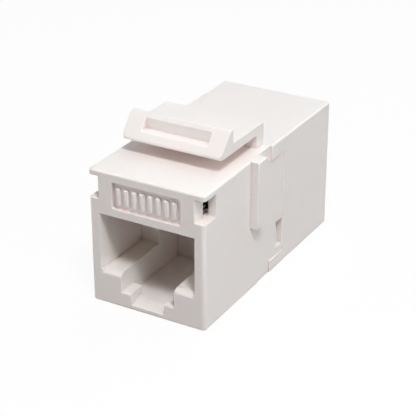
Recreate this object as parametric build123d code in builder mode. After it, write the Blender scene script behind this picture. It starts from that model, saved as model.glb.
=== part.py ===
from build123d import *
import os

# A keystone-format inline coupler: two eight-way sockets, back to back.
# Millimetres. +Z is up, the front socket faces -Y, and the origin is the centre of the base.
# A depth is measured from an end face into the body, and a height from the base up.

# Body
body_width = 14.5
body_height = 16.2
body_length = 30.3
corner_radius = 0.45
top_edge_radius = 0.25
base_edge_radius = 0.2

# Relief of the side walls beside the seam, left out at the corners of the rear shell
relief_depth = 0.2
relief_end_depth = 0.11
relief_length = 3.3
upper_tab_height = 1.85
lower_tab_height = 1.5

# Socket, below a bay that the contact carrier fills and that is open to the seam
top_wall = 1.4
bay_height = 3.75
port_height = 6.85
port_width = 11.7
port_stop_depth = 8.1
mouth_flare = 0.15
mouth_depth = 1.4
sill_nose_length = 0.9
sill_nose_drop = 0.55
channel_width = 6.8
channel_floor = 0.95
catch_sill = 1.95
catch_length = 2.4
catch_nose_length = 0.6
catch_nose_drop = 0.2
tab_slot_width = 4.3
tab_slot_drop = 0.38
tab_slot_ramp = 1.5
end_wall = 0.8

# Bay and the grooves in its side walls
face_wall = 1.65
bay_width = 11.4
groove_reach = 0.65
groove_height = 1.2
groove_lift = 1.3
groove_start = 2.85
tail_bay_length = 2.25

# Contact carrier
carrier_to_board = 2.15
carrier_clearance = 0.1
carrier_seat_gap = 0.05
nose_radius = 0.6
throat_chamfer = 0.6
contact_slot_clearance = 0.05

# Contacts
contact_count = 8
contact_pitch = 1.016
contact_width = 0.5
contact_thickness = 0.3
contact_seat_gap = 0.03
contact_inset = 0.35
contact_run_drop = 0.5
contact_turn_lift = 0.1
contact_bend = 0.5
contact_tip_drop = 2.1
contact_tip_gap = 0.2
tail_gap = 1.0
tail_reach = 0.5
tail_drop = 1.4
tail_row_pitch = 1.1

# Circuit board
board_width = 12.7
board_thickness = 1.0
board_above_tongues = 0.8
board_clearance = 0.1
board_shoulder = 0.5
board_hole_radius = 0.36

# Label window, notches and view slits of the front face
label_width = 8.6
label_height = 3.15
label_lift = 0.95
label_depth = 0.45
label_corner_radius = 0.3
notch_reach = 1.25
notch_length = 2.5
notch_height = 2.7
eave_thickness = 0.7
slit_length = 0.65
slit_height = 1.8
slit_lift = 0.15
slit_wrap = 0.22
slit_depth = 0.8

# Stop ribs
rib_reach = 1.0
rib_front_depth = 10.1
rib_length = 2.05
rib_height = 8.2
rib_edge_radius = 0.15
rib_end_radius = 0.2

# Pockets for the panel's lip, under the front shell
lip_pocket_width = 2.4
lip_pocket_length = 2.5
lip_pocket_depth = 1.2
lip_pocket_wall = 0.9

# Latch
latch_width = 12.5
latch_gap = 1.7
latch_thickness = 1.1
latch_root_depth = 13.35
latch_root_thickness = 1.6
latch_root_radius = 0.35
ridge_height = 1.6
ridge_nose_depth = 5.3
ridge_nose_height = 0.3
ridge_corner_radius = 0.5
ridge_slope_length = 2.05
ridge_top_length = 0.6
ridge_edge_radius = 0.1
pocket_width = 8.3
pocket_length = 1.7
pocket_floor_drop = 0.12

# Snap tongues of the front shell and the windows that they lock into
tongue_length = 3.9
tongue_bottom = 2.2
tongue_height = 4.1
tongue_thickness = 0.75
tongue_clearance = 0.1
window_wall = 0.8
window_start = 1.6
window_length = 1.57
window_bottom = 2.45
window_height = 3.35
hook_length = 0.6
hook_gap = 0.05
hook_recess = 0.16
hook_lift = 0.6
hook_slant = 0.3
hook_lead_in = 0.15

# Places worked out from the sizes above
half_width = body_width / 2
half_length = body_length / 2
half_bay = bay_width / 2
bay_top = body_height - top_wall
port_ceiling = bay_top - bay_height
port_sill = port_ceiling - port_height
channel_depth = half_length - tail_bay_length - end_wall
groove_bottom = port_ceiling + groove_lift
groove_top = groove_bottom + groove_height
carrier_front = face_wall + carrier_clearance
carrier_rear = half_length - board_thickness / 2 - carrier_to_board
carrier_bottom = port_ceiling + carrier_seat_gap
carrier_top = bay_top - carrier_clearance
contact_front = carrier_front + contact_inset
contact_run_height = carrier_top - contact_run_drop
contact_places = [(i - (contact_count - 1) / 2) * contact_pitch for i in range(contact_count)]
tongue_top = tongue_bottom + tongue_height
board_top = bay_top - board_clearance
board_bottom = tongue_top + board_above_tongues


def end_plane(depth):
    """The upright plane at a depth behind the front face, where sketches lie in X and Z."""
    return Plane.XZ.offset(half_length - depth)


def block(x_low, x_high, depth_low, depth_high, low, high, mode=Mode.ADD):
    """A box given by its sides, joined to or cut from the part that is being built."""
    with BuildSketch(end_plane(depth_low)) as side:
        with Locations(((x_low + x_high) / 2, (low + high) / 2)):
            Rectangle(x_high - x_low, high - low)
    extrude(side.sketch, amount=depth_low - depth_high, mode=mode)


def round_nose(half_span, sill, length, drop):
    """Adds the space before and above a sill whose front edge is round, to a hollow that is being built."""
    with BuildSketch(Plane.YZ.offset(-half_span)) as corner:
        with BuildLine():
            top = (-half_length + length, sill)
            foot = (-half_length, sill - drop)
            EllipticalCenterArc((top[0], foot[1]), length, drop, start_angle=90, arc_size=90)
            Polyline(foot, (-half_length, sill), top)
        make_face()
    extrude(corner.sketch, amount=2 * half_span)


def tail_row_height(row):
    """Height at which a row of contact tails goes through the board."""
    return bay_top - tail_drop - row * tail_row_pitch


# Hollow of one socket: plug space, flared mouth with a round sill, channel for the plug's tab and its slot
with BuildPart() as socket_void:
    half_port = port_width / 2
    half_channel = channel_width / 2
    block(-half_port, half_port, 0, port_stop_depth, port_sill, port_ceiling)
    with BuildSketch(end_plane(0)):
        with Locations((0, port_ceiling)):
            Rectangle(port_width + 2 * mouth_flare, port_height, align=(Align.CENTER, Align.MAX))
    with BuildSketch(end_plane(mouth_depth)):
        with Locations((0, port_ceiling)):
            Rectangle(port_width, port_height, align=(Align.CENTER, Align.MAX))
    loft()
    round_nose(half_port, port_sill, sill_nose_length, sill_nose_drop)
    round_nose(half_channel, catch_sill, catch_nose_length, catch_nose_drop)
    block(-half_channel, half_channel, 0, channel_depth, catch_sill, port_ceiling)
    block(-half_channel, half_channel, catch_length, channel_depth, channel_floor, port_ceiling)
    with BuildSketch(Plane.YZ.offset(-tab_slot_width / 2)):
        with BuildLine():
            Polyline(
                (-half_length, channel_floor - tab_slot_drop),
                (-half_length, port_sill),
                (-half_length + channel_depth, port_sill),
                (-half_length + channel_depth, channel_floor),
                (-half_length + tab_slot_ramp, channel_floor),
                close=True,
            )
        make_face()
    extrude(amount=tab_slot_width)

# Hollow above the socket: the carrier's bay with its side grooves, and the seat of the board
with BuildPart() as bay_void:
    half_groove = half_bay + groove_reach
    half_board = board_width / 2 + board_clearance
    board_floor = board_bottom - board_clearance
    seat_depth = half_length - board_thickness / 2 - board_clearance
    block(-half_bay, half_bay, face_wall, half_length, port_ceiling, bay_top)
    block(-half_groove, half_groove, groove_start, half_length, groove_bottom, groove_top)
    block(-half_board, half_board, seat_depth, half_length, board_floor, bay_top)
    half_tail_bay = half_board - board_shoulder
    tail_bay_front = half_length - tail_bay_length
    tail_bay_floor = board_floor + board_shoulder
    block(-half_tail_bay, half_tail_bay, tail_bay_front, half_length, tail_bay_floor, bay_top)

# One snap tongue, on the right. Its hook bears on the front side of the window and leaves the rest open.
with BuildPart() as snap_hook:
    tongue_face = half_width - window_wall - tongue_clearance
    tongue_back = tongue_face - tongue_thickness
    hook_face = half_width - hook_recess
    hook_rear = window_start + hook_length
    hook_bottom = window_bottom + hook_lift
    hook_top = window_bottom + window_height - hook_gap
    with BuildSketch(Plane.YZ.offset(tongue_back)):
        with BuildLine():
            Polyline(
                (window_start, hook_bottom),
                (window_start, hook_top),
                (hook_rear - hook_slant, hook_top),
                (hook_rear, hook_bottom),
                close=True,
            )
        make_face()
    extrude(amount=hook_face - tongue_back)
    hook_outside = snap_hook.faces().sort_by(Axis.X)[-1]
    chamfer(hook_outside.edges().sort_by(Axis.Y)[-1], length=hook_lead_in)

with BuildPart() as snap_tongue:
    tongue_end = half_length + tongue_length
    block(tongue_back, tongue_face, half_length, tongue_end, tongue_bottom, tongue_top)
    add(snap_hook.part)

# Ridge of the latch, with round front corners
with BuildPart() as latch_ridge:
    arm_bottom = body_height + latch_gap
    arm_top = arm_bottom + latch_thickness
    ridge_top = arm_top + ridge_height
    nose_front = ridge_nose_depth - half_length
    slope_rear = nose_front + ridge_slope_length
    ridge_rear = slope_rear + ridge_top_length
    with BuildSketch(Plane.YZ.offset(-latch_width / 2)):
        with BuildLine():
            FilletPolyline(
                (ridge_rear, arm_bottom),
                (nose_front, arm_bottom),
                (nose_front, arm_bottom + ridge_nose_height),
                (slope_rear, ridge_top),
                (ridge_rear, ridge_top),
                radius=[0, ridge_edge_radius, ridge_edge_radius, ridge_edge_radius, ridge_edge_radius],
                close=True,
            )
        make_face()
    extrude(amount=latch_width)
    with BuildSketch(Plane.XY.offset(arm_bottom)):
        with Locations((0, nose_front)):
            RectangleRounded(
                latch_width,
                ridge_slope_length + 2 * ridge_top_length + ridge_corner_radius,
                ridge_corner_radius,
                align=(Align.CENTER, Align.MIN),
            )
    extrude(amount=ridge_top - arm_bottom, mode=Mode.INTERSECT)

# Front shell: the latch, the stop ribs and the snap tongues are moulded in one with it
with BuildPart() as front_housing:
    block(-half_width, half_width, 0, half_length, 0, body_height)
    fillet(front_housing.edges().filter_by(Axis.Z).group_by(Axis.Y)[0], radius=corner_radius)
    top_face = front_housing.faces().sort_by(Axis.Z)[-1]
    fillet(top_face.edges().sort_by(Axis.Y)[:-1], radius=top_edge_radius)
    base_face = front_housing.faces().sort_by(Axis.Z)[0]
    fillet(base_face.edges().sort_by(Axis.Y)[:-1], radius=base_edge_radius)

    # Stop ribs, flush with the top
    half_ribs = half_width + rib_reach
    rib_bottom = body_height - rib_height
    rib_rear_depth = rib_front_depth + rib_length
    rib_root = half_width - top_edge_radius
    block(-half_ribs, -rib_root, rib_front_depth, rib_rear_depth, rib_bottom, body_height)
    block(rib_root, half_ribs, rib_front_depth, rib_rear_depth, rib_bottom, body_height)
    for end in (0, -1):
        rib_face = front_housing.faces().filter_by(Axis.X).sort_by(Axis.X)[end]
        fillet(rib_face.edges().sort_by(Axis.Z)[0], radius=rib_end_radius)
        rib_face = front_housing.faces().filter_by(Axis.X).sort_by(Axis.X)[end]
        fillet(rib_face.edges().filter_by(Axis.Z), radius=rib_edge_radius)

    # Relief of the side walls from the ribs to the seam
    half_relief = half_width - relief_depth
    block(-half_width, -half_relief, rib_rear_depth, half_length, 0, body_height, Mode.SUBTRACT)
    block(half_relief, half_width, rib_rear_depth, half_length, 0, body_height, Mode.SUBTRACT)

    # Latch arm on its root
    root_front = latch_root_depth - half_length
    root_rear = root_front + latch_root_thickness
    with BuildSketch(Plane.YZ.offset(-latch_width / 2)):
        with BuildLine():
            FilletPolyline(
                (root_front, body_height - eave_thickness),
                (root_front, arm_bottom),
                (slope_rear, arm_bottom),
                (slope_rear, arm_top),
                (root_rear, arm_top),
                (root_rear, body_height - eave_thickness),
                radius=[0, latch_root_radius, 0, 0, latch_root_radius, 0],
                close=True,
            )
        make_face()
    extrude(amount=latch_width)

    # Ridge across the free end of the arm, with a finger pocket in its slope
    add(latch_ridge.part)
    pocket_rear_depth = ridge_nose_depth + pocket_length
    pocket_floor = arm_top - pocket_floor_drop
    half_pocket = pocket_width / 2
    block(-half_pocket, half_pocket, 0, pocket_rear_depth, pocket_floor, ridge_top, Mode.SUBTRACT)

    # Label window and corner notches, which leave the top plate as an eave
    with BuildSketch(end_plane(0)):
        with Locations((0, port_ceiling + label_lift + label_height / 2)):
            RectangleRounded(label_width, label_height, label_corner_radius)
    extrude(amount=-label_depth, mode=Mode.SUBTRACT)
    notch_inner = half_width - notch_reach
    notch_top = body_height - eave_thickness
    notch_floor = notch_top - notch_height
    block(-half_width, -notch_inner, 0, notch_length, notch_floor, notch_top, Mode.SUBTRACT)
    block(notch_inner, half_width, 0, notch_length, notch_floor, notch_top, Mode.SUBTRACT)

    # View slits into the bay, round the back inner corner of each notch
    slit_front = notch_length - slit_length
    slit_rear = notch_length + slit_depth
    slit_reach = notch_inner + slit_wrap
    slit_bottom = notch_floor + slit_lift
    slit_top = slit_bottom + slit_height
    block(-slit_reach, slit_reach, slit_front, slit_rear, slit_bottom, slit_top, Mode.SUBTRACT)

    # Pockets for the panel's lip, in the thick floor beside the tab channel
    pocket_outer = half_width - lip_pocket_wall
    pocket_inner = pocket_outer - lip_pocket_width
    lip_front = rib_front_depth - lip_pocket_length
    block(-pocket_outer, -pocket_inner, lip_front, rib_front_depth, 0, lip_pocket_depth, Mode.SUBTRACT)
    block(pocket_inner, pocket_outer, lip_front, rib_front_depth, 0, lip_pocket_depth, Mode.SUBTRACT)

    add(socket_void.part, mode=Mode.SUBTRACT)
    add(bay_void.part, mode=Mode.SUBTRACT)
    add(snap_tongue.part)
    add(mirror(snap_tongue.part, about=Plane.YZ, mode=Mode.PRIVATE))

# Rear shell, around the second socket
with BuildPart() as rear_housing:
    block(-half_width, half_width, half_length, body_length, 0, body_height)
    fillet(rear_housing.edges().filter_by(Axis.Z).group_by(Axis.Y)[-1], radius=base_edge_radius)
    fillet(rear_housing.faces().sort_by(Axis.Z)[-1].edges().sort_by(Axis.Y)[1:], radius=top_edge_radius)
    fillet(rear_housing.faces().sort_by(Axis.Z)[0].edges().sort_by(Axis.Y)[1:], radius=base_edge_radius)

    # Relief that gets shallower behind the seam, between the corner tabs
    for side in (-1, 1):
        with BuildSketch(Plane.XY.offset(lower_tab_height)):
            with BuildLine():
                Polyline(
                    (side * half_relief, 0),
                    (side * half_width, 0),
                    (side * half_width, relief_length),
                    (side * (half_width - relief_end_depth), relief_length),
                    close=True,
                )
            make_face()
        extrude(amount=body_height - upper_tab_height - lower_tab_height, mode=Mode.SUBTRACT)

    # Slots for the snap tongues, and their windows
    slot_outer = half_width - window_wall
    slot_inner = tongue_back - tongue_clearance
    slot_end = tongue_end + tongue_clearance
    slot_low = tongue_bottom - tongue_clearance
    slot_high = tongue_top + tongue_clearance
    window_front = half_length + window_start
    window_rear = window_front + window_length
    window_top = window_bottom + window_height
    block(-slot_outer, -slot_inner, half_length, slot_end, slot_low, slot_high, Mode.SUBTRACT)
    block(slot_inner, slot_outer, half_length, slot_end, slot_low, slot_high, Mode.SUBTRACT)
    block(-half_width, -slot_outer, window_front, window_rear, window_bottom, window_top, Mode.SUBTRACT)
    block(slot_outer, half_width, window_front, window_rear, window_bottom, window_top, Mode.SUBTRACT)

    add(socket_void.part, rotation=(0, 0, 180), mode=Mode.SUBTRACT)
    add(bay_void.part, rotation=(0, 0, 180), mode=Mode.SUBTRACT)

# Contact carrier: a comb whose teeth part the contacts, on a core that they bend around
with BuildPart() as front_insert:
    half_carrier = half_bay - carrier_clearance
    carrier_nose = carrier_front - half_length
    carrier_end = carrier_rear - half_length
    with BuildSketch(Plane.YZ.offset(-half_carrier)):
        with BuildLine():
            FilletPolyline(
                (carrier_nose, carrier_bottom),
                (carrier_nose, carrier_top),
                (carrier_end, carrier_top),
                (carrier_end, carrier_bottom),
                radius=[nose_radius, nose_radius, 0, 0],
                close=True,
            )
        make_face()
    extrude(amount=2 * half_carrier)
    slot_half = contact_width / 2 + contact_slot_clearance
    for place in contact_places:
        block(
            place - slot_half,
            place + slot_half,
            carrier_front,
            carrier_rear,
            carrier_bottom,
            carrier_top,
            Mode.SUBTRACT,
        )
    contact_inside = contact_thickness / 2 + contact_seat_gap
    core_nose = contact_front + contact_inside - half_length
    core_top = contact_run_height - contact_inside
    with BuildSketch(Plane.YZ.offset(-half_carrier)):
        with BuildLine():
            FilletPolyline(
                (core_nose, carrier_bottom + throat_chamfer),
                (core_nose, core_top),
                (carrier_end, core_top),
                (carrier_end, carrier_bottom),
                (core_nose + throat_chamfer, carrier_bottom),
                radius=[0, contact_bend - contact_inside, 0, 0, 0],
                close=True,
            )
        make_face()
    extrude(amount=2 * half_carrier)

    # Rails that slide in the grooves of the bay
    half_rails = half_groove - carrier_clearance
    rail_start = groove_start + carrier_clearance
    rail_bottom = groove_bottom + carrier_clearance
    rail_top = groove_top - carrier_clearance
    block(-half_rails, -half_carrier, rail_start, carrier_rear, rail_bottom, rail_top)
    block(half_carrier, half_rails, rail_start, carrier_rear, rail_bottom, rail_top)

with BuildPart() as rear_insert:
    add(front_insert.part, rotation=(0, 0, 180))

# Circuit board, upright across the seam, drilled for the tails of both sets of contacts
with BuildPart() as circuit_board:
    with BuildSketch(Plane.XZ.offset(board_thickness / 2)):
        with Locations((0, (board_top + board_bottom) / 2)):
            Rectangle(board_width, board_top - board_bottom)
        for i, place in enumerate(contact_places):
            with Locations(
                (place, tail_row_height(i % 2)),
                (-place, tail_row_height(2 + i % 2)),
            ):
                Circle(board_hole_radius, mode=Mode.SUBTRACT)
    extrude(amount=-board_thickness)


def build_contact(place, row, turn):
    """One spring contact: tail in the board, run along the carrier, bend at its nose, sloped beam."""
    tail_end = board_thickness / 2 + tail_reach
    drop = carrier_end + tail_gap
    front = contact_front - half_length
    tip = port_stop_depth - contact_tip_gap - half_length
    height = tail_row_height(row)
    with BuildPart() as contact_blade:
        with BuildSketch(Plane.YZ.offset(place - contact_width / 2)):
            with BuildLine() as centre_line:
                FilletPolyline(
                    (tail_end, height),
                    (drop, height),
                    (drop, contact_run_height),
                    (front, contact_run_height),
                    (front, carrier_bottom + contact_turn_lift),
                    (tip, port_ceiling - contact_tip_drop),
                    radius=[0, 0, contact_bend, contact_bend],
                )
            trace(centre_line.line, line_width=contact_thickness)
        extrude(amount=contact_width)
    with BuildPart() as contact:
        add(contact_blade.part, rotation=(0, 0, turn))
    return contact


# Write every piece
pieces = {
    "front_housing": front_housing,
    "rear_housing": rear_housing,
    "front_insert": front_insert,
    "rear_insert": rear_insert,
    "circuit_board": circuit_board,
}
for i, place in enumerate(contact_places):
    pieces[f"front_contact_{i + 1}"] = build_contact(place, i % 2, 0)
    pieces[f"rear_contact_{i + 1}"] = build_contact(place, 2 + i % 2, 180)

os.makedirs("parts", exist_ok=True)
for name, piece in pieces.items():
    piece.part.label = name
    export_step(piece.part, f"parts/{name}.step")
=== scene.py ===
import math

import bmesh
import bpy
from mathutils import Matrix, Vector
from mathutils.bvhtree import BVHTree


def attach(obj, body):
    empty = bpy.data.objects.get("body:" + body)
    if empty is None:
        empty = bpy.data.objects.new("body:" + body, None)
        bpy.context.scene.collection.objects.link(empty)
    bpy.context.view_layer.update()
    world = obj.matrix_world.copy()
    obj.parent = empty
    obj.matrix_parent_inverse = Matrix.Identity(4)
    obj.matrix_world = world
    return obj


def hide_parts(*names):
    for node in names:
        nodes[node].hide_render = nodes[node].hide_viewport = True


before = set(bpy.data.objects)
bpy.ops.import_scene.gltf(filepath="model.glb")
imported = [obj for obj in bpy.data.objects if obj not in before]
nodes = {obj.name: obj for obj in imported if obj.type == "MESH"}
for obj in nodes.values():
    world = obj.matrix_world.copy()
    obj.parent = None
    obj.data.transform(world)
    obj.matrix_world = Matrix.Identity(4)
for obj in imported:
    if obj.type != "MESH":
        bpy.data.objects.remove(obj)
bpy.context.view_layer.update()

# Looks of a white two-part socket coupler. Lengths are in metres, in the frame of the solids.

MM = 0.001

# Camera, found from the corners of the body in the photograph
PHOTO_SIDE = 416
FOCAL_PIXELS = 1311.081
SENSOR_WIDTH = 36.0
CAMERA_AZIMUTH = math.radians(29.773)
CAMERA_ELEVATION = math.radians(26.442)
CAMERA_DISTANCE = 153.071 * MM
CAMERA_TARGET = Vector((-0.505, -0.891, 6.891)) * MM
CAMERA_CLIP_START = 10 * MM

# Middle span of a noise, which a remap stretches to its own low and high values
NOISE_LOW = 0.3
NOISE_HIGH = 0.7

# Colours of the moulded shells: free faces and faint clouds; painted shade in hollows and creases, and its
# reach
SHELL_COLOUR = (0.935, 0.895, 0.872, 1.0)
SHELL_CLOUD_COLOUR = (0.925, 0.89, 0.872, 1.0)
SHELL_CLOUD_SIZE = 4 * MM
SHELL_HOLLOW_SHADE_COLOUR = (0.975, 0.865, 0.84, 1.0)
SHELL_HOLLOW_SHADE_REACH = 5 * MM
SHELL_CREASE_SHADE_COLOUR = (0.76, 0.69, 0.67, 1.0)
SHELL_CREASE_SHADE_REACH = 0.8 * MM

# Shares of open air that make a place a deep hollow, with full painted shade, or a free face, with none, and
# the rays that measure them
AIR_IN_HOLLOW = 0.25
AIR_ON_FREE_FACE = 0.75
AIR_RAYS = 8

# Skin of the moulded shells: gloss, light that scatters below it, sink marks and satin grain
SHELL_ROUGHNESS = (0.36, 0.5)
SHELL_GLOSS_SIZE = 0.8 * MM
SHELL_IOR = 1.5
SCATTER_SHARE = 1.0
SCATTER_TINT = (1.0, 0.92, 0.86)
SCATTER_REACH = 0.12 * MM
SINK_SIZE = 3.5 * MM
SINK_DEPTH = 0.02 * MM
GRAIN_SIZE = 0.09 * MM
GRAIN_DEPTH = 0.0015 * MM

# Black resin of the carriers, with short fibres
RESIN_COLOURS = ((0.012, 0.012, 0.013, 1.0), (0.03, 0.029, 0.028, 1.0))
RESIN_ROUGHNESS = (0.34, 0.48)
RESIN_GLOSS_SIZE = 0.5 * MM
FIBRE_SIZE = 0.05 * MM
FIBRE_STRETCH = (1, 6, 1)
FIBRE_DEPTH = 0.004 * MM

# Green lacquer of the board, over a glass weave
MASK_COLOURS = ((0.012, 0.13, 0.05, 1.0), (0.02, 0.19, 0.08, 1.0))
MASK_ROUGHNESS = 0.28
MASK_COAT = 0.4
WEAVE_SIZE = 0.35 * MM
WEAVE_STRETCH = (1, 1, 3)
CROSS_STRETCH = (3, 1, 1)
WEAVE_DEPTH = 0.01 * MM

# Dull tin of the strips behind the view slits
TIN_COLOURS = ((0.72, 0.71, 0.69, 1.0), (0.84, 0.83, 0.81, 1.0))
TIN_ROUGHNESS = (0.32, 0.5)
TIN_METALLIC = 0.25
MOTTLE_SIZE = 0.08 * MM
MOTTLE_DEPTH = 0.003 * MM

# Gold of the contacts, with rolling marks
GOLD_COLOURS = ((0.83, 0.6, 0.27, 1.0), (0.93, 0.74, 0.42, 1.0))
GOLD_ROUGHNESS = (0.16, 0.3)
ROLLING_SIZE = 0.03 * MM
ROLLING_STRETCH = (1, 30, 1)
ROLLING_DEPTH = 0.002 * MM

# Eased edges of the shells: width, segments, angles that count as flat and as sharp, the least share of the
# width that an edge gets, and how near to each other vertices are merged
SHELL_BEVEL = 0.06 * MM
BEVEL_SEGMENTS = 3
FLAT_ANGLE = math.radians(0.5)
BEVEL_ANGLE = math.radians(35)
LEAST_SHARE = 0.05
MERGE_REACH = 0.015 * MM

# Where a bevel strays from the solid or folds over, the edges within reach give up half of it,
# for at most so many rounds
STRAY_LIMIT = 0.04 * MM
FOLD_LIMIT = -0.2
FAULT_REACH = 0.25 * MM
SETTLE_ROUNDS = 10

# The crisp zone beside the seam: side walls behind the seam, and the seam itself
CRISP_SHARE = 0.3
SEAM_SHARE = 0.08
CRISP_END = 3.45 * MM
CRISP_WALL = 6.4 * MM
SEAM_REACH = 0.01 * MM

# Lamps: usual distance and width, those that differ, tints, and the strength of the room's even light
LAMP_DISTANCE = 0.5
LAMP_SIZE = 0.35
KEY_DISTANCE = 0.25
KEY_SIZE = 0.045
REAR_TOP_SIZE = 0.3
WHITE_LIGHT = (1.0, 1.0, 1.0)
WARM_LIGHT = (1.0, 0.88, 0.85)
COOL_LIGHT = (0.95, 0.975, 1.0)
ROOM_STRENGTH = 0.065

# Floor: reach, grey, roughness, and the strength and share of the white glow that the camera sees
FLOOR_REACH = 3.0
FLOOR_COLOUR = (0.35, 0.35, 0.35, 1.0)
FLOOR_ROUGHNESS = 0.9
FLOOR_GLOW = 1.15
FLOOR_GLOW_SHARE = 0.8

# Eight short ribs in the label window, one for each way of the socket
LABEL_MIDDLE = Vector((-0.1, -14.7, 13.5)) * MM
LABEL_RIBS = 8
LABEL_RIB_PITCH = 1.0 * MM
LABEL_RIB_WIDTH = 0.56 * MM
LABEL_RIB_SQUARENESS = 0.6
LABEL_RIB_LENGTH = 2.05 * MM
LABEL_RIB_RELIEF = 0.38 * MM
LABEL_RIB_SEGMENTS = 20
LABEL_RIB_RINGS = 13

# Tin strips on the carrier behind each view slit, in millimetres: reach from the middle, depth and height
GLINT_FRONT_FACE = Vector((0, -15.15, 0))
GLINTS = (
    ((5.6, 5.64), (2.55, 3.05), (13.46, 13.68)),
    ((5.6, 5.64), (2.5, 2.87), (12.6, 13.2)),
    ((5.6, 6.08), (2.87, 2.95), (12.98, 13.25)),
)


def direction(azimuth, elevation):
    """Unit vector towards a place seen from the object: azimuth from the front towards +X."""
    flat = math.cos(elevation)
    return Vector((math.sin(azimuth) * flat, -math.cos(azimuth) * flat, math.sin(elevation)))


def add_object(name, data):
    """A new object of the scene, around a mesh, a lamp or a camera."""
    added = bpy.data.objects.new(name, data)
    bpy.context.scene.collection.objects.link(added)
    return added


def face_target(item, away, distance):
    """Puts a lamp or a camera at a distance in the direction away, and turns it to face the target."""
    item.location = CAMERA_TARGET + away * distance
    item.rotation_euler = (-away).to_track_quat("-Z", "Y").to_euler()


# Materials

class Shader:
    """A small helper around one material's node tree."""

    def __init__(self, name):
        self.material = bpy.data.materials.new(name)
        self.material.use_nodes = True
        self.tree = self.material.node_tree
        self.principled = self.tree.nodes["Principled BSDF"]
        self.place = self.add("ShaderNodeTexCoord").outputs["Object"]

    def add(self, kind, **settings):
        node = self.tree.nodes.new(kind)
        for key, value in settings.items():
            setattr(node, key, value)
        return node

    def link(self, source, target):
        self.tree.links.new(source, target)

    def feed(self, target, value):
        """Gives an input one value, or links it to the output of another node."""
        if isinstance(value, bpy.types.NodeSocket):
            self.link(value, target)
        else:
            target.default_value = value

    def surface(self, **inputs):
        """Feeds inputs of the surface, each named with an underscore for a space."""
        for name, value in inputs.items():
            self.feed(self.principled.inputs[name.replace("_", " ")], value)

    def noise(self, size, detail=2.0, stretch=(1, 1, 1)):
        """Noise whose lumps are about size across, drawn out along an axis by its stretch."""
        mapping = self.add("ShaderNodeMapping")
        mapping.inputs["Scale"].default_value = [1 / s for s in stretch]
        self.link(self.place, mapping.inputs["Vector"])
        noise = self.add("ShaderNodeTexNoise")
        noise.inputs["Scale"].default_value = 1 / size
        noise.inputs["Detail"].default_value = detail
        self.link(mapping.outputs["Vector"], noise.inputs["Vector"])
        return noise.outputs["Fac"]

    def remap(self, value, low, high, from_low=NOISE_LOW, from_high=NOISE_HIGH):
        node = self.add("ShaderNodeMapRange")
        node.inputs["From Min"].default_value = from_low
        node.inputs["From Max"].default_value = from_high
        node.inputs["To Min"].default_value = low
        node.inputs["To Max"].default_value = high
        self.link(value, node.inputs["Value"])
        return node.outputs["Result"]

    def mix(self, factor, first, second):
        node = self.add("ShaderNodeMix", data_type="RGBA")
        for socket, value in (("Factor_Float", factor), ("A_Color", first), ("B_Color", second)):
            self.feed(next(s for s in node.inputs if s.identifier == socket), value)
        return next(s for s in node.outputs if s.identifier == "Result_Color")

    def between(self, noise, colours):
        """A colour that goes from the first to the second as a noise rises."""
        return self.mix(self.remap(noise, 0.0, 1.0), *colours)

    def painted_shade_mask(self, reach):
        """1 where walls within reach hide most of the open air, 0 on a free face: how much painted shade a
        place gets.
        """
        occlusion = self.add("ShaderNodeAmbientOcclusion", samples=AIR_RAYS)
        occlusion.inputs["Distance"].default_value = reach
        return self.remap(occlusion.outputs["AO"], 1.0, 0.0, AIR_IN_HOLLOW, AIR_ON_FREE_FACE)

    def bump(self, *layers):
        """Layers of (height, depth in metres), from the coarsest to the finest."""
        normal = None
        for height, depth in layers:
            node = self.add("ShaderNodeBump")
            node.inputs["Distance"].default_value = depth
            self.link(height, node.inputs["Height"])
            if normal:
                self.link(normal, node.inputs["Normal"])
            normal = node.outputs["Normal"]
        self.link(normal, self.principled.inputs["Normal"])


def moulded_white(name, shaded=True):
    """Translucent white plastic: satin grain, slight sink marks, and painted shade, warmer in hollows and
    darker in creases.
    """
    shader = Shader(name)
    tone = shader.between(shader.noise(SHELL_CLOUD_SIZE, detail=3), (SHELL_COLOUR, SHELL_CLOUD_COLOUR))
    if shaded:
        # Painted shade: a warm tint where walls hide most of the air, and a darker tone in tight creases
        tone = shader.mix(shader.painted_shade_mask(SHELL_HOLLOW_SHADE_REACH), tone, SHELL_HOLLOW_SHADE_COLOUR)
        tone = shader.mix(shader.painted_shade_mask(SHELL_CREASE_SHADE_REACH), tone, SHELL_CREASE_SHADE_COLOUR)
    gloss = shader.remap(shader.noise(SHELL_GLOSS_SIZE, detail=4), *SHELL_ROUGHNESS)
    shader.surface(Base_Color=tone, Roughness=gloss, IOR=SHELL_IOR)
    shader.surface(
        Subsurface_Weight=SCATTER_SHARE, Subsurface_Radius=SCATTER_TINT, Subsurface_Scale=SCATTER_REACH
    )
    shader.bump(
        (shader.noise(SINK_SIZE, detail=1), SINK_DEPTH),
        (shader.noise(GRAIN_SIZE, detail=3), GRAIN_DEPTH),
    )
    return shader.material


def black_resin(name):
    """Glass-filled black resin: short fibres show as fine streaks."""
    shader = Shader(name)
    fibre = shader.noise(FIBRE_SIZE, detail=3, stretch=FIBRE_STRETCH)
    gloss = shader.remap(shader.noise(RESIN_GLOSS_SIZE), *RESIN_ROUGHNESS)
    shader.surface(Base_Color=shader.between(fibre, RESIN_COLOURS), Roughness=gloss)
    shader.bump((fibre, FIBRE_DEPTH))
    return shader.material


def solder_mask(name):
    """Green lacquer over a glass weave."""
    shader = Shader(name)
    weave = shader.noise(WEAVE_SIZE, detail=1, stretch=WEAVE_STRETCH)
    cross = shader.noise(WEAVE_SIZE, detail=1, stretch=CROSS_STRETCH)
    tone = shader.between(weave, MASK_COLOURS)
    shader.surface(Base_Color=tone, Roughness=MASK_ROUGHNESS, Coat_Weight=MASK_COAT)
    shader.bump((weave, WEAVE_DEPTH), (cross, WEAVE_DEPTH))
    return shader.material


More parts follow.
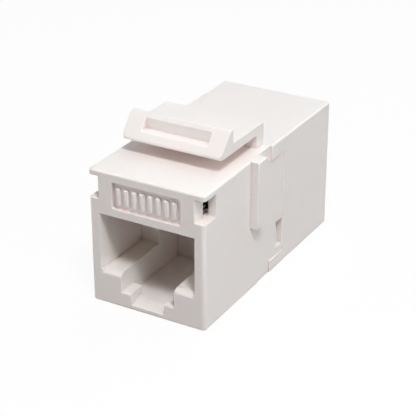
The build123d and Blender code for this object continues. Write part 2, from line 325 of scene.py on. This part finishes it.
def tinned_strip(name):
    """Dull tin, slightly mottled."""
    shader = Shader(name)
    mottle = shader.noise(MOTTLE_SIZE, detail=3)
    gloss = shader.remap(mottle, *TIN_ROUGHNESS)
    shader.surface(Base_Color=shader.between(mottle, TIN_COLOURS), Roughness=gloss, Metallic=TIN_METALLIC)
    shader.bump((mottle, MOTTLE_DEPTH))
    return shader.material


def gold_flash(name):
    """Thin gold over rolled bronze strip, with rolling marks along it."""
    shader = Shader(name)
    rolling = shader.noise(ROLLING_SIZE, detail=3, stretch=ROLLING_STRETCH)
    gloss = shader.remap(rolling, *GOLD_ROUGHNESS)
    shader.surface(Base_Color=shader.between(rolling, GOLD_COLOURS), Roughness=gloss, Metallic=1.0)
    shader.bump((rolling, ROLLING_DEPTH))
    return shader.material


# Pieces

def is_sharp(edge):
    return edge.calc_face_angle(0.0) >= BEVEL_ANGLE


def room_beside(edge):
    """Widest bevel that the edges which meet an edge leave space for."""
    widest = SHELL_BEVEL
    for vert in edge.verts:
        along = edge.other_vert(vert).co - vert.co
        for other in vert.link_edges:
            if other is edge or not set(other.link_faces) & set(edge.link_faces):
                continue
            beside = other.other_vert(vert).co - vert.co
            angle = along.angle(beside)
            run = math.tan(angle / 2) / 2 if is_sharp(other) else math.sin(angle)
            widest = min(widest, beside.length * run)
    return widest


def ease_share(edge):
    """How much of the bevel an edge gets: none where it is flat or has no room, little beside the seam."""
    room = room_beside(edge) / SHELL_BEVEL
    if not is_sharp(edge) or room < LEAST_SHARE:
        return 0.0
    on_seam = all(abs(vert.co.y) < SEAM_REACH for vert in edge.verts)
    on_side = all(
        abs(vert.co.x) > CRISP_WALL and -SEAM_REACH < vert.co.y < CRISP_END for vert in edge.verts
    )
    if on_seam:
        return min(room, SEAM_SHARE)
    return min(room, CRISP_SHARE) if on_side else room


def ease_faults(piece, solid):
    """Places where the eased mesh leaves the solid's surface or faces the wrong way."""
    graph = bpy.context.evaluated_depsgraph_get()
    eased = piece.evaluated_get(graph).to_mesh()
    places = [v.co.copy() for v in eased.vertices if solid.find_nearest(v.co)[3] > STRAY_LIMIT]
    for face in eased.polygons:
        if face.area and face.normal.dot(solid.find_nearest(face.center)[1]) < FOLD_LIMIT:
            places.append(face.center.copy())
    return places


def settle_ease(piece, solid):
    """Halves the bevel beside each fault until none is left or the rounds run out."""
    mesh = piece.data
    for _ in range(SETTLE_ROUNDS):
        faults = ease_faults(piece, solid)
        if not faults:
            return
        near = {
            vert.index
            for vert in mesh.vertices
            if any((vert.co - fault).length < FAULT_REACH for fault in faults)
        }
        shares = mesh.attributes["bevel_weight_edge"].data
        for edge, share in zip(mesh.edges, shares):
            if near.intersection(edge.vertices):
                share.value /= 2
        mesh.update()


def dressed_copy(node_name, piece_name, material):
    """A copy of a solid with its flat faces whole and every sharp edge eased."""
    mesh = nodes[node_name].data.copy()
    mesh.name = piece_name
    work = bmesh.new()
    work.from_mesh(mesh)
    bmesh.ops.remove_doubles(work, verts=work.verts, dist=MERGE_REACH)
    bmesh.ops.dissolve_limit(work, angle_limit=FLAT_ANGLE, verts=work.verts, edges=work.edges)
    weights = work.edges.layers.float.new("bevel_weight_edge")
    for edge in work.edges:
        edge[weights] = ease_share(edge)
    work.to_mesh(mesh)
    solid = BVHTree.FromBMesh(work)
    work.free()
    mesh.materials.clear()
    mesh.materials.append(material)
    piece = add_object(piece_name, mesh)
    ease = piece.modifiers.new("ease", "BEVEL")
    ease.limit_method = "WEIGHT"
    ease.width = SHELL_BEVEL
    ease.segments = BEVEL_SEGMENTS
    ease.use_clamp_overlap = False
    ease.harden_normals = True
    ease.miter_outer = "MITER_ARC"
    settle_ease(piece, solid)
    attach(piece, "root")
    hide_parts(node_name)


def piece_around(work, name, material):
    """A new piece with the faces of a working mesh, which it frees."""
    mesh = bpy.data.meshes.new(name)
    work.to_mesh(mesh)
    work.free()
    mesh.materials.append(material)
    return add_object(name, mesh)


def label_ribs(material):
    """A row of upright ribs with full, round edges, half sunk in the field of the label window."""
    work = bmesh.new()
    half_straight = (LABEL_RIB_LENGTH - LABEL_RIB_WIDTH) / 2
    for i in range(LABEL_RIBS):
        ball = bmesh.ops.create_uvsphere(
            work, u_segments=LABEL_RIB_SEGMENTS, v_segments=LABEL_RIB_RINGS, radius=0.5
        )
        middle = LABEL_MIDDLE + Vector((i - (LABEL_RIBS - 1) / 2, 0, 0)) * LABEL_RIB_PITCH
        for vert in ball["verts"]:
            x, y, z = (math.copysign((2 * abs(v)) ** LABEL_RIB_SQUARENESS / 2, v) for v in vert.co)
            rise = z * LABEL_RIB_WIDTH + math.copysign(half_straight, z)
            vert.co = middle + Vector((x * LABEL_RIB_WIDTH, 2 * y * LABEL_RIB_RELIEF, rise))
    for face in work.faces:
        face.smooth = True
    piece = piece_around(work, "label_ribs", material)
    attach(piece, "root")


def slit_glints(material):
    """Short strips of tinned metal on both sides of the front carrier, seen through the slits."""
    work = bmesh.new()
    for side in (-1, 1):
        for ranges in GLINTS:
            box = bmesh.ops.create_cube(work, size=1.0)
            for vert in box["verts"]:
                place = [low + (high - low) * (share + 0.5) for (low, high), share in zip(ranges, vert.co)]
                place[0] *= side
                vert.co = (GLINT_FRONT_FACE + Vector(place)) * MM
    bmesh.ops.recalc_face_normals(work, faces=work.faces)
    piece = piece_around(work, "slit_glints", material)
    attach(piece, "root")


def finish_nodes(prefix, material):
    """Gives one material to every solid whose name starts with prefix."""
    for name, node in nodes.items():
        if name.startswith(prefix):
            for slot in node.material_slots:
                slot.material = material


front_plastic = moulded_white("front_plastic")
rear_plastic = moulded_white("rear_plastic")
dressed_copy("front_housing", "front_shell", front_plastic)
dressed_copy("rear_housing", "rear_shell", rear_plastic)
label_ribs(moulded_white("label_plastic", shaded=False))
slit_glints(tinned_strip("tinned_metal"))
resin = black_resin("carrier_resin")
finish_nodes("front_insert", resin)
finish_nodes("rear_insert", resin)
finish_nodes("circuit_board", solder_mask("board_mask"))
strip = gold_flash("contact_strip")
finish_nodes("front_contact", strip)
finish_nodes("rear_contact", strip)


# Stage, light and camera

def white_floor():
    """A pale floor that shows white to the camera and keeps a soft shadow."""
    mesh = bpy.data.meshes.new("floor")
    corners = [(x * FLOOR_REACH, y * FLOOR_REACH, 0) for x, y in ((-1, -1), (1, -1), (1, 1), (-1, 1))]
    mesh.from_pydata(corners, [], [(0, 1, 2, 3)])
    floor = add_object("floor", mesh)
    shader = Shader("floor_paper")
    shader.surface(Base_Color=FLOOR_COLOUR, Roughness=FLOOR_ROUGHNESS)
    glow = shader.add("ShaderNodeEmission")
    glow.inputs["Strength"].default_value = FLOOR_GLOW
    seen = shader.add("ShaderNodeLightPath")
    share = shader.add("ShaderNodeMath", operation="MULTIPLY")
    share.inputs[1].default_value = FLOOR_GLOW_SHARE
    either = shader.add("ShaderNodeMath", operation="MAXIMUM")
    shader.link(seen.outputs["Is Camera Ray"], either.inputs[0])
    shader.link(seen.outputs["Is Glossy Ray"], either.inputs[1])
    shader.link(either.outputs["Value"], share.inputs[0])
    blend = shader.add("ShaderNodeMixShader")
    shader.link(share.outputs["Value"], blend.inputs["Fac"])
    shader.link(shader.principled.outputs["BSDF"], blend.inputs[1])
    shader.link(glow.outputs["Emission"], blend.inputs[2])
    output = shader.tree.nodes["Material Output"]
    shader.link(blend.outputs["Shader"], output.inputs["Surface"])
    mesh.materials.append(shader.material)


def soft_lamp(name, azimuth, elevation, power, colour=WHITE_LIGHT, distance=LAMP_DISTANCE, size=LAMP_SIZE):
    """A square lamp that faces the middle of the object, placed by angles in degrees."""
    lamp = bpy.data.lights.new(name, "AREA")
    lamp.size = size
    lamp.energy = power
    lamp.color = colour
    away = direction(math.radians(azimuth), math.radians(elevation))
    face_target(add_object(name, lamp), away, distance)


def room_light(strength):
    """Even light from all round, and plain white where the camera sees past the floor."""
    world = bpy.data.worlds.new("studio")
    world.use_nodes = True
    tree = world.node_tree
    background = tree.nodes["Background"]
    background.inputs["Color"].default_value = (1.0, 1.0, 1.0, 1.0)
    seen = tree.nodes.new("ShaderNodeLightPath")
    level = tree.nodes.new("ShaderNodeMapRange")
    level.inputs["To Min"].default_value = strength
    level.inputs["To Max"].default_value = 1.0
    tree.links.new(seen.outputs["Is Camera Ray"], level.inputs["Value"])
    tree.links.new(level.outputs["Result"], background.inputs["Strength"])
    bpy.context.scene.world = world


white_floor()
soft_lamp("key", azimuth=45, elevation=57, power=0.335, distance=KEY_DISTANCE, size=KEY_SIZE)
soft_lamp("right", azimuth=95, elevation=18, power=0.5)
soft_lamp("high_right", azimuth=75, elevation=35, power=0.36, colour=WARM_LIGHT)
soft_lamp("left", azimuth=-80, elevation=35, power=0.47)
soft_lamp("front", azimuth=-40, elevation=18, power=0.58, colour=WARM_LIGHT)
soft_lamp("rear_top", azimuth=180, elevation=70, power=0.4, colour=COOL_LIGHT, size=REAR_TOP_SIZE)
soft_lamp("rear", azimuth=170, elevation=40, power=0.52, colour=COOL_LIGHT)
room_light(ROOM_STRENGTH)

camera = bpy.data.cameras.new("camera")
camera.sensor_width = SENSOR_WIDTH
camera.lens = FOCAL_PIXELS / PHOTO_SIDE * SENSOR_WIDTH
camera.clip_start = CAMERA_CLIP_START
viewer = add_object("camera", camera)
face_target(viewer, direction(CAMERA_AZIMUTH, CAMERA_ELEVATION), CAMERA_DISTANCE)
bpy.context.scene.camera = viewer
bpy.context.scene.view_settings.view_transform = "Standard"
